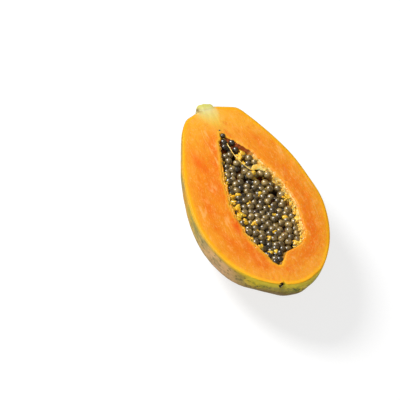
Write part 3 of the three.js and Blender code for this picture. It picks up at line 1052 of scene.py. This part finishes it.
def makeBed(material):
    # the pulp under the seeds, seen only through the gaps
    share = np.linspace(0, 1, bed["steps"])
    top = []
    for x in np.linspace(*bed["span"], bed["stations"]):
        left, right = cavityEdges(x, 6)
        row = [left + (right - left) * s for s in share]
        top.append([(x, y, coreHeight(y) - hollowAt(x, y)) for y in row])
    top = np.array(top)
    ups = lumps(top.reshape(-1, 3), 4, 51, 3).reshape(top.shape[:2])
    top[:, :, 2] += bed["lumps"] * ups - bed["sink"]
    under = top - (0, 0, bed["thickness"])
    loops = np.concatenate([top, under[:, ::-1]], 1)
    # each loop starts in the middle of its top, about which loopFaces folds the ends shut
    loops = np.roll(loops, len(share) // 2 + len(share), axis=1)
    faces = loopFaces(*loops.shape[:2])
    print("bed:", len(faces), "faces")
    return makePiece("pulpBed", loops.reshape(-1, 3), faces, [material])


scar = {
    "centre": (169.4, -8.2, -2),
    "radius": 2.9,
    "flatness": 0.85,
    "rise": 0.7,
    "rings": 7,
    "sides": 40,
    "sunk": 1.2,  # how far its underside lies in the skin
}


def makeScar(material, body):
    # a ragged dark button that lies on the skin of the given body
    rings, sides = scar["rings"], scar["sides"]
    _, touch, outward, _ = body.closest_point_on_mesh(Vector(toScene(scar["centre"])))
    sideways = Vector((0, 0, 1)).cross(outward).normalized()
    upright = outward.cross(sideways)
    places, middle = [(0, 0, 0.3)], [1.0]
    for ring in range(1, rings + 1):
        share = ring / rings
        for side in range(sides):
            turn = 2 * math.pi * side / sides
            lobe = 1 + 0.22 * math.cos(4 * turn + 0.6) + 0.14 * math.sin(9 * turn + 1)
            reach = scar["radius"] * share * lobe
            rise = scar["rise"] * math.cos(math.pi / 2 * share ** 2) - 0.2 * share ** 2
            places.append((reach * math.cos(turn), reach * scar["flatness"] * math.sin(turn), rise))
            middle.append(smoothStep(0.45, 0.2, share))
    places += [(x, y, -scar["sunk"]) for x, y, _ in [*places[-sides:], (0, 0, 0)]]
    points = []
    for x, y, rise in places:
        spot = touch + (sideways * x + upright * y) / 1000
        onSkin = body.closest_point_on_mesh(spot)[1]
        points.append((onSkin + outward * rise / 1000) * 1000)
    points = np.array(points) - fruitOrigin
    points += np.array(outward) * 0.2 * lumps(points, 0.9, 61, 3)[:, None]
    start = 1 + rings * sides
    faces = bandFaces(rings + 1, sides, 1)
    for side in range(sides):
        after = (side + 1) % sides
        faces.append((0, 1 + side, 1 + after))
        faces.append((start + sides, start + after, start + side))
    piece = makePiece("blossomScar", points, faces, [material])
    addAttribute(piece, "middle", np.concatenate([middle, np.zeros(sides + 1)]))
    print("scar:", len(points), "points")
    return piece


class Paint(Nodes):
    # a material whose colour is built up in layers, from the colours and the finish of its look
    def __init__(self, name, look):
        self.look = look
        self.material = bpy.data.materials.new(name)
        self.material.use_nodes = True
        super().__init__(self.material.node_tree)
        self.tree.nodes.clear()
        self.shader = self.add("ShaderNodeBsdfPrincipled", look["finish"])
        self.add("ShaderNodeOutputMaterial", {0: self.shader.outputs[0]})
        self.place = self.add("ShaderNodeTexCoord").outputs["Object"]

    def attribute(self, name, output="Fac"):
        return self.add("ShaderNodeAttribute", attribute_name=name).outputs[output]

    def patches(self, vector, scale, level, softness=0.08, detail=3.0):
        return self.out("ShaderNodeGroup", {
            "Vector": vector, "Scale": scale, "Level": level, "Softness": softness, "Detail": detail,
        }, node_tree=softPatches)

    def moist(self, vector, scale, dry, wet):
        # the height and the roughness of a wet surface
        return self.add("ShaderNodeGroup", {
            "Vector": vector, "Grain Scale": scale, "Dry": dry, "Wet": wet,
        }, node_tree=moistGrain).outputs

    def stem(self, vector, along):
        # the colour of the stem's tissue, and its fibres
        return self.add("ShaderNodeGroup", {"Vector": vector, "Along": along}, node_tree=stemFibre).outputs

    def base(self, name, mask):
        # the first layer: from one colour of the pair to the other
        self.colour = self.mix(mask, *self.look[name])

    def over(self, shade, *masks):
        # a colour of the look, or a socket's, where all the masks are
        top = self.look[shade] if isinstance(shade, str) else shade
        self.colour = self.mix(self.times(*masks), self.colour, top)

    def finish(self, height, strength, distance, roughness=None):
        bump = self.out("ShaderNodeBump", {"Height": height, "Strength": strength, "Distance": distance})
        self.fill(self.shader, {"Base Color": self.colour, "Normal": bump})
        if roughness is not None:
            self.fill(self.shader, {"Roughness": roughness})
        return self.material


def makePatchGroup():
    # soft-edged random patches: where a noise rises above a level
    nodes, given, result, _ = newTree("softPatches", "ShaderNodeTree", {
        "Vector": "Vector", "Scale": 50.0, "Level": 0.5, "Softness": 0.08, "Detail": 3.0,
    }, {"Mask": "Float"})
    grain = nodes.noise(given["Vector"], given["Scale"], given["Detail"], 0.6)
    low = nodes.math("SUBTRACT", given["Level"], given["Softness"])
    high = nodes.math("ADD", given["Level"], given["Softness"])
    nodes.fill(result, {"Mask": nodes.rise(grain, low, high)})
    return nodes.tree


def makeMoistGroup():
    # fine wet grain: a height for bump and a roughness that varies with it
    nodes, given, result, _ = newTree("moistGrain", "ShaderNodeTree", {
        "Vector": "Vector", "Grain Scale": 700.0, "Dry": 0.5, "Wet": 0.25,
    }, {"Height": "Float", "Roughness": "Float"})
    fine = nodes.noise(given["Vector"], given["Grain Scale"], 4.0, 0.6)
    pools = nodes.noise(given["Vector"], nodes.times(given["Grain Scale"], 0.22), 2.0, 0.5)
    wetness = nodes.out("ShaderNodeMapRange", {
        "Value": pools, "From Min": 0.35, "From Max": 0.65, "To Min": given["Dry"], "To Max": given["Wet"],
    })
    height = nodes.math("ADD", nodes.times(fine, 0.5), pools)
    nodes.fill(result, {"Height": height, "Roughness": wetness})
    return nodes.tree


# each look holds the colours of a material's layers, two where they are mixed, and its finish
stemLook = {
    # the cut face from the broken end to where it runs out in the flesh, with the steps between
    "ends": ((196, 196, 96), (230, 150, 36)),
    "steps": [
        (0.12, (220, 212, 150)), (0.3, (220, 200, 116)), (0.55, (228, 190, 90)), (0.8, (230, 176, 60)),
    ],
    "darkFibre": (196, 150, 60),
    "bark": ((140, 146, 44), (186, 182, 78)),
    "crease": (112, 82, 22),
    "finish": {
        "Roughness": 0.6, "Subsurface Weight": 0.12, "Subsurface Radius": (1.0, 0.8, 0.3),
        "Subsurface Scale": 0.002, "Specular IOR Level": 0.2,
    },
}


def makeStemGroup():
    # the pale fibrous tissue of the stem
    nodes, given, result, _ = newTree(
        "stemFibre", "ShaderNodeTree", {"Vector": "Vector", "Along": 0.0},
        {"Color": "Color", "Fibre": "Float"},
    )
    fibre = nodes.noise(nodes.stretch(given["Vector"], (70, 700, 300)), 1.0, 4.0)
    ramp = nodes.add("ShaderNodeValToRGB", {"Fac": nodes.rise(given["Along"], -4, 26)})
    stops = ramp.color_ramp.elements
    stops[0].color, stops[1].color = map(linear, stemLook["ends"])
    for position, shade in stemLook["steps"]:
        stops.new(position).color = linear(shade)
    lines = nodes.rise(fibre, 0.62, 0.42, 0, 0.22)
    colour = nodes.mix(lines, ramp.outputs[0], stemLook["darkFibre"])
    nodes.fill(result, {"Color": colour, "Fibre": fibre})
    return nodes.tree


softPatches = makePatchGroup()
moistGrain = makeMoistGroup()
stemFibre = makeStemGroup()


def makeStemMaterial():
    paint = Paint("papayaStem", stemLook)
    cut, fibre = paint.stem(paint.place, paint.attribute("alongStem"))
    paint.base("bark", paint.patches(paint.place, 260, 0.5, 0.1))
    paint.over(cut, paint.attribute("cutFace"))
    # painted shade in the crease by the stub's root
    paint.over("crease", paint.attribute("crease"), 0.85)
    return paint.finish(fibre, 0.5, 0.0006)


fleshLook = {
    "orange": ((226, 128, 20), (228, 140, 28)),
    "yellow": (233, 160, 42),
    "byStem": (228, 170, 60),
    "byBlossom": (240, 158, 46),
    "red": (226, 104, 20),
    "redSpot": (222, 84, 16),
    "bruise": (226, 88, 14),
    "paleMottle": (240, 164, 80),
    "deepMottle": (222, 108, 12),
    "vein": (242, 182, 112),
    "fibre": (236, 168, 88),
    # painted highlight: pale flecks for the glints of the wet flesh
    "fleck": (240, 184, 112),
    "underSkin": ((234, 162, 16), (250, 182, 34)),
    "edge": (212, 160, 30),
    "skinLine": (204, 154, 38),
    "lip": (236, 168, 36),
    "tipLine": (232, 160, 24),
    "stemCrease": (150, 108, 30),
    "finish": {
        "Subsurface Weight": 0.2, "Subsurface Radius": (1.0, 0.3, 0.08), "Subsurface Scale": 0.003,
        "Coat Weight": 0.06, "Coat Roughness": 0.25, "Specular IOR Level": 0.13,
    },
}


def makeFleshMaterial():
    paint = Paint("papayaFlesh", fleshLook)
    place, flow = paint.place, paint.attribute("flow", "Vector")
    along, fromSkin = paint.attribute("alongStem"), paint.attribute("fromSkin")
    fromCavity = paint.attribute("fromCavity")
    paint.base("orange", paint.patches(place, 45, 0.5, 0.18))
    # yellower flesh towards the stem, under the skin and round the cavity's narrow end
    yellow = paint.math("MAXIMUM", paint.rise(along, 60, 10), paint.rise(fromSkin, 13, 3, 0, 0.4))
    halo = paint.times(paint.rise(fromCavity, 6, 0.5), paint.rise(along, 58, 34))
    paint.over("yellow", paint.math("MAXIMUM", yellow, halo))
    paint.over("byStem", paint.attribute("wedgeHalo"))
    paint.over("byBlossom", paint.rise(along, 138, 158, 0, 0.6))
    # redder flesh midway through the wall, in soft clouds drawn out along the outline
    cloud = paint.patches(paint.stretch(flow, (0.03, 0.06, 1)), 1.0, 0.52, 0.16)
    inside = paint.times(paint.rise(fromSkin, 5, 14), paint.rise(fromCavity, 0, 5))
    paint.over("red", cloud, inside, paint.rise(along, 12, 42, 0.1, 0.8))
    # redder spots near the cavity's edge, partly the flesh's own colour and partly painted shade of small
    # dents there
    paint.over("redSpot", paint.patches(place, 130, 0.6, 0.07), paint.rise(fromCavity, 7, 1), 0.6)
    # wet mottling, paler and deeper, drawn out a little along the fruit
    mottle = paint.noise(paint.stretch(place, (0.6, 1, 1)), 210, 5.0, 0.75)
    paint.over("paleMottle", paint.rise(mottle, 0.5, 0.7, 0, 0.6))
    paint.over("deepMottle", paint.rise(mottle, 0.5, 0.32, 0, 0.5))
    # a few pale veins that wander along the fruit
    wave = paint.noise(paint.stretch(place, (0.18, 1, 1), (0, 0, 0.25)), 46)
    offLine = paint.math("ABSOLUTE", paint.math("SUBTRACT", wave, 0.5))
    paint.over("vein", paint.rise(offLine, 0.014, 0.002), paint.patches(place, 90, 0.54, 0.06), 0.4)
    # pale fibres, and fine pale flecks that are painted highlights on the wet flesh
    paint.over("fibre", paint.patches(paint.stretch(flow, (0.2, 1.3, 1)), 1.0, 0.6, 0.07, 4.0), 0.42)
    paint.over("fleck", paint.patches(paint.stretch(place, (1, 1.8, 1)), 430, 0.66, 0.04, 2.0), 0.42)
    # yellow flesh under the skin, then the thin line of the skin itself
    edge = paint.math("SUBTRACT", fromSkin, paint.times(paint.noise(place, 55, 2.0), 3.2))
    band = paint.mix(paint.rise(along, 130, 155), *fleshLook["underSkin"])
    paint.over(band, paint.rise(edge, 2.7, -0.8))
    paint.over("edge", paint.rise(fromSkin, 0.6, 0.25))
    paint.over("skinLine", paint.rise(fromSkin, 0.25, 0.05))
    # yellower tissue at the cavity's edge
    lip = paint.math("SUBTRACT", fromCavity, paint.times(paint.noise(place, 120, 2.0), 2.4))
    paint.over("lip", paint.rise(lip, 2.8, -1.4), paint.attribute("lipTint"))
    paint.over("bruise", paint.attribute("bruise"), paint.patches(place, 160, 0.4, 0.14))
    # the blossom end's crease draws a yellow line up into the flesh
    paint.over("tipLine", paint.attribute("tipLine"), 0.7)
    # the fibrous wedge under the stem
    paint.over(paint.stem(place, along)["Color"], paint.attribute("stemWedge"))
    # painted shade in the crease where the stub meets the flesh
    paint.over("stemCrease", paint.attribute("stemCrease"))
    height, roughness = paint.moist(place, 900, 0.55, 0.32)
    return paint.finish(paint.math("ADD", height, paint.times(mottle, 3.0)), 0.4, 0.0004, roughness)


skinLook = {
    "golden": ((176, 126, 16), (186, 142, 30)),
    "tan": ((188, 148, 84), (206, 162, 112)),
    "tip": ((136, 132, 28), (214, 186, 24)),
    "between": (160, 142, 74),
    "cloud": (124, 124, 40),
    "blotch": (110, 110, 68),
    "speck": (62, 70, 28),
    # painted shade: colours for the lower skin, its blossom end and the side that faces the floor
    "low": (110, 84, 24),
    "lowTip": (98, 74, 22),
    "underside": (104, 76, 22),
    "freckle": (76, 74, 28),
    "line": ((212, 160, 38), (226, 202, 50)),
    "finish": {
        "Subsurface Weight": 0.06, "Subsurface Radius": (1.0, 0.5, 0.2), "Subsurface Scale": 0.002,
        "Specular IOR Level": 0.1,
    },
}


def makeSkinMaterial():
    paint = Paint("papayaSkin", skinLook)
    place, pale = paint.place, paint.attribute("pale")
    tip, down = paint.attribute("towardTip"), paint.attribute("belowCut")
    paint.base("golden", paint.patches(place, 26, 0.5, 0.14))
    paint.over(paint.mix(paint.patches(place, 60, 0.5, 0.14), *skinLook["tan"]), pale)
    mottle = paint.patches(paint.stretch(place, (0.7, 1, 1)), 120, 0.5, 0.1, 4.0)
    paint.over(paint.mix(mottle, *skinLook["tip"]), tip)
    # a greyer green where the gold turns tan
    paint.over("between", pale, paint.math("SUBTRACT", 1.0, pale), 2.0)
    # green that is left on a ripening fruit: broad clouds, then finer mottling
    cloud = paint.noise(paint.stretch(place, (1, 1.7, 1.7)), 36, 4.0, 0.62)
    calmer = paint.times(paint.rise(pale, 0, 1, 0.7, 0.25), paint.rise(tip, 0, 1, 1, 0.45))
    paint.over("cloud", paint.rise(cloud, 0.5, 0.68), calmer)
    paint.over(
        "blotch", paint.patches(paint.stretch(place, (0.3, 1, 1.2)), 140, 0.55, 0.06, 5.0),
        paint.rise(down, 20, 5, 0.4, 0.8), paint.rise(tip, 0, 1, 1, 0.55),
        paint.rise(pale, 0.4, 1, 1, 0.6),
    )
    speck = paint.patches(paint.stretch(place, (0.6, 1, 1)), 400, 0.585, 0.03, 2.0)
    paint.over("speck", speck, paint.rise(tip, 0, 1, 0.4, 0.9))
    # painted shade: browner and darker lower down the skin, more so at the blossom end, and darkest where
    # the skin faces the floor
    paint.over("low", paint.rise(down, 12, 34, 0, 0.4))
    paint.over("lowTip", tip, paint.rise(down, 6, 16, 0, 0.8))
    paint.over("underside", paint.attribute("paintedUnderShade"), 0.5)
    # small dark freckles, longer along the fruit than across it, on about half of the cells
    cells = paint.add("ShaderNodeTexVoronoi", {
        "Vector": paint.stretch(place, (0.6, 1, 1)), "Scale": 270.0, "Randomness": 1.0,
    })
    cellDraw = paint.out("ShaderNodeSeparateColor", {0: cells.outputs["Color"]})
    freckle = paint.rise(cells.outputs["Distance"], 0.24, 0.12)
    paint.over("freckle", freckle, paint.rise(cellDraw, 0.55, 0.65), 0.7)
    # a golden line right under the cut, broader and greener at the blossom end
    reach = paint.times(down, paint.rise(tip, 0, 1, 1, 0.45))
    paint.over(paint.mix(tip, *skinLook["line"]), paint.rise(reach, 3.2, 0.8, 0, 0.85))
    pores, swell = paint.noise(place, 1500, 2.0), paint.noise(place, 160)
    height = paint.math("ADD", paint.times(pores, 0.25), swell)
    roughness = paint.rise(paint.noise(place, 120), 0.3, 0.7, 0.5, 0.65)
    return paint.finish(height, 0.3, 0.0006, roughness)


membraneLook = {
    "tissue": ((216, 152, 40), (224, 188, 108)),
    "gap": (196, 98, 16),
    "top": (234, 176, 84),
    # painted shade: the wall's colour deep in the cavity
    "deep": (150, 60, 12),
    "bareTip": (140, 62, 5),
    "bareEnd": (150, 106, 34),
    "finish": {
        "Subsurface Weight": 0.2, "Subsurface Radius": (1.0, 0.6, 0.15), "Subsurface Scale": 0.0015,
        "Coat Weight": 0.12, "Coat Roughness": 0.15, "Specular IOR Level": 0.15,
    },
}


def makeMembraneMaterial():
    paint = Paint("papayaMembrane", membraneLook)
    place, depth = paint.place, paint.attribute("belowCut")
    paint.base("tissue", paint.patches(paint.stretch(place, (1, 1, 1.6)), 200, 0.5, 0.1))
    paint.over("gap", paint.patches(place, 330, 0.6, 0.05), 0.45)
    paint.over("top", paint.rise(depth, 1.2, 0.4, 0, 0.6))
    # painted shade: the wall darker deep in the cavity
    paint.over("deep", paint.rise(depth, 6, 10))
    # near the stem the wall is bare and deep red, its own red with painted shade of the deep pocket there,
    # and at the blossom end it is bare flesh
    paint.over("bareTip", paint.attribute("bareTip"))
    paint.over("bareEnd", paint.attribute("bareEnd"))
    height, roughness = paint.moist(place, 800, 0.5, 0.2)
    return paint.finish(height, 0.7, 0.0008, roughness)


pulpLook = {
    # the soft tissue of the tongues and empty sacs, of the threads, and of the seam
    "papayaPulp": ((226, 166, 26), (236, 190, 66)),
    "papayaThreads": ((228, 176, 62), (240, 210, 124)),
    "papayaSeam": ((228, 146, 30), (236, 170, 56)),
    "finish": {
        "Subsurface Weight": 0.35, "Subsurface Radius": (1.0, 0.65, 0.15), "Subsurface Scale": 0.0015,
        "Coat Weight": 0.25, "Coat Roughness": 0.25, "Specular IOR Level": 0.25,
    },
}


def makePulpMaterial(name):
    paint = Paint(name, pulpLook)
    paint.base(name, paint.patches(paint.place, 260, 0.5, 0.12))
    height, roughness = paint.moist(paint.place, 900, 0.45, 0.15)
    return paint.finish(height, 0.6, 0.0006, roughness)


seedLook = {
    # darkest and palest seeds, each from its dark to its light side
    "dark": ((30, 21, 8), (60, 48, 24)),
    "pale": ((108, 86, 40), (176, 148, 86)),
    "stain": (96, 58, 18),
    "finish": {
        "Subsurface Weight": 0.15, "Subsurface Radius": (0.8, 0.6, 0.35), "Subsurface Scale": 0.001,
        "Coat Weight": 1.0, "Coat Roughness": 0.3, "Coat IOR": 1.7, "Specular IOR Level": 0.2,
    },
}


def makeSeedMaterial():
    paint = Paint("papayaSeeds", seedLook)
    place, tint = paint.place, paint.attribute("tint")
    sides = [paint.mix(tint, *pair) for pair in zip(seedLook["dark"], seedLook["pale"])]
    cloud = paint.noise(paint.attribute("seedPlace", "Vector"), 1.1, 2.0)
    paint.colour = paint.mix(paint.rise(cloud, 0.36, 0.64), *sides)
    paint.over("stain", paint.patches(place, 420, 0.62, 0.05), 0.35)
    roughness = paint.rise(paint.noise(place, 300, 2.0), 0.3, 0.7, 0.3, 0.45)
    return paint.finish(paint.noise(place, 700, 2.0), 0.1, 0.0004, roughness)


bedLook = {
    # the pulp's own red, mixed in patches with near black that is painted shade in the gaps
    "pulp": ((34, 18, 8), (168, 66, 12)),
    "finish": {"Coat Weight": 0.2, "Coat Roughness": 0.2, "Specular IOR Level": 0.2},
}


def makeBedMaterial():
    paint = Paint("papayaPulpBed", bedLook)
    # painted shade: patches of near black among the pulp's red
    paint.base("pulp", paint.patches(paint.place, 95, 0.51, 0.08))
    height, roughness = paint.moist(paint.place, 600, 0.5, 0.2)
    return paint.finish(height, 0.8, 0.001, roughness)


scarLook = {
    "dark": ((26, 18, 10), (70, 50, 26)),
    "middle": (190, 172, 130),
    "finish": {"Roughness": 0.8, "Specular IOR Level": 0.1},
}


def makeScarMaterial():
    paint = Paint("papayaScar", scarLook)
    paint.base("dark", paint.patches(paint.place, 700, 0.5, 0.1))
    paint.over("middle", paint.attribute("middle"))
    return paint.finish(paint.noise(paint.place, 1800), 0.8, 0.0005)


stage = {
    "floorSize": 12,
    "skyStrength": 0.17,
    # of the floor
    "finish": {
        "Base Color": (0.28, 0.28, 0.28, 1), "Emission Color": (1, 1, 1, 1),
        "Emission Strength": 0.76, "Roughness": 0.9, "Specular IOR Level": 0.1,
    },
    # direction, distance, size and power of each lamp
    "lamps": {
        "key": ((-0.47, -0.57, 0.7), 1.2, 0.5, 21),
        "fill": ((0.7, -0.5, 0.6), 1.5, 1.2, 3),
    },
    "lampHeight": 0.04,  # of the point that the lamps look at
}


def addLight(name, direction, distance, size, power):
    light = bpy.data.lights.new(name, "AREA")
    light.shape = "DISK"
    light.size = size
    light.energy = power
    lamp = addObject(name, light)
    aim = Vector(direction).normalized()
    lamp.location = aim * distance + Vector((0, 0, stage["lampHeight"]))
    lamp.rotation_mode = "QUATERNION"
    lamp.rotation_quaternion = aim.to_track_quat("Z", "Y")


def makeStage():
    bpy.ops.mesh.primitive_plane_add(size=stage["floorSize"], location=(0, 0, 0))
    floor = bpy.context.object
    floor.name = "floor"
    floor.data.materials.append(Paint("paleFloor", stage).material)
    world = bpy.data.worlds.new("studio")
    bpy.context.scene.world = world
    world.use_nodes = True
    sky = world.node_tree.nodes["Background"]
    sky.inputs["Color"].default_value = (1, 1, 1, 1)
    sky.inputs["Strength"].default_value = stage["skyStrength"]
    for name, lamp in stage["lamps"].items():
        addLight(name, *lamp)
    print("stage and lights made")


camera = {
    "lens": 181.8,
    "place": (877.259, -637.234, 1103.499),
    "right": (0.34365814, 0.90712825, 0.24293503),
    "up": (-0.77251668, 0.12598658, 0.62237076),
    "back": (0.53396354, -0.40155414, 0.74406801),
}


def makeCamera():
    lens = bpy.data.cameras.new("camera")
    lens.sensor_width = 36
    lens.lens = camera["lens"]
    lens.clip_start = 0.05
    lens.clip_end = 50
    viewer = addObject("camera", lens)
    turn = Matrix((camera["right"], camera["up"], camera["back"])).transposed().to_4x4()
    viewer.matrix_world = Matrix.Translation(Vector(toScene(camera["place"]))) @ turn
    bpy.context.scene.camera = viewer


bpy.context.scene.view_settings.view_transform = "Standard"
makeCamera()
makeStage()

pulpMaterial, creamMaterial, seamMaterial = (
    makePulpMaterial(name) for name in ("papayaPulp", "papayaThreads", "papayaSeam")
)
seedTree, seedSockets = makeSeedTree()

fruitPiece = makeFruit(makeFleshMaterial(), makeSkinMaterial())
stubPiece = makeStub(makeStemMaterial())
membranePiece = makeMembrane(makeMembraneMaterial(), pulpMaterial, creamMaterial, seamMaterial)
threadPiece = makeThreads(creamMaterial)
seedPiece, topSeeds = makeSeeds(makeSeedMaterial())
sacPiece = makeSacs(topSeeds, pulpMaterial)
bedPiece = makeBed(makeBedMaterial())
scarPiece = makeScar(makeScarMaterial(), fruitPiece)

for piece, slot, replaced in (
    (fruitPiece, "flesh_and_skin", "fruit_half"),
    (stubPiece, "stem", "stem_stub"),
    (membranePiece, "placenta", "placenta"),
    (seedPiece, "seeds", "seeds"),
    (threadPiece, "placenta", None),
    (sacPiece, "placenta", None),
    (bedPiece, "placenta", None),
    (scarPiece, "flesh_and_skin", None),
):
    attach(piece, "root")
    if replaced:
        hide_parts(replaced)
print("pieces placed")
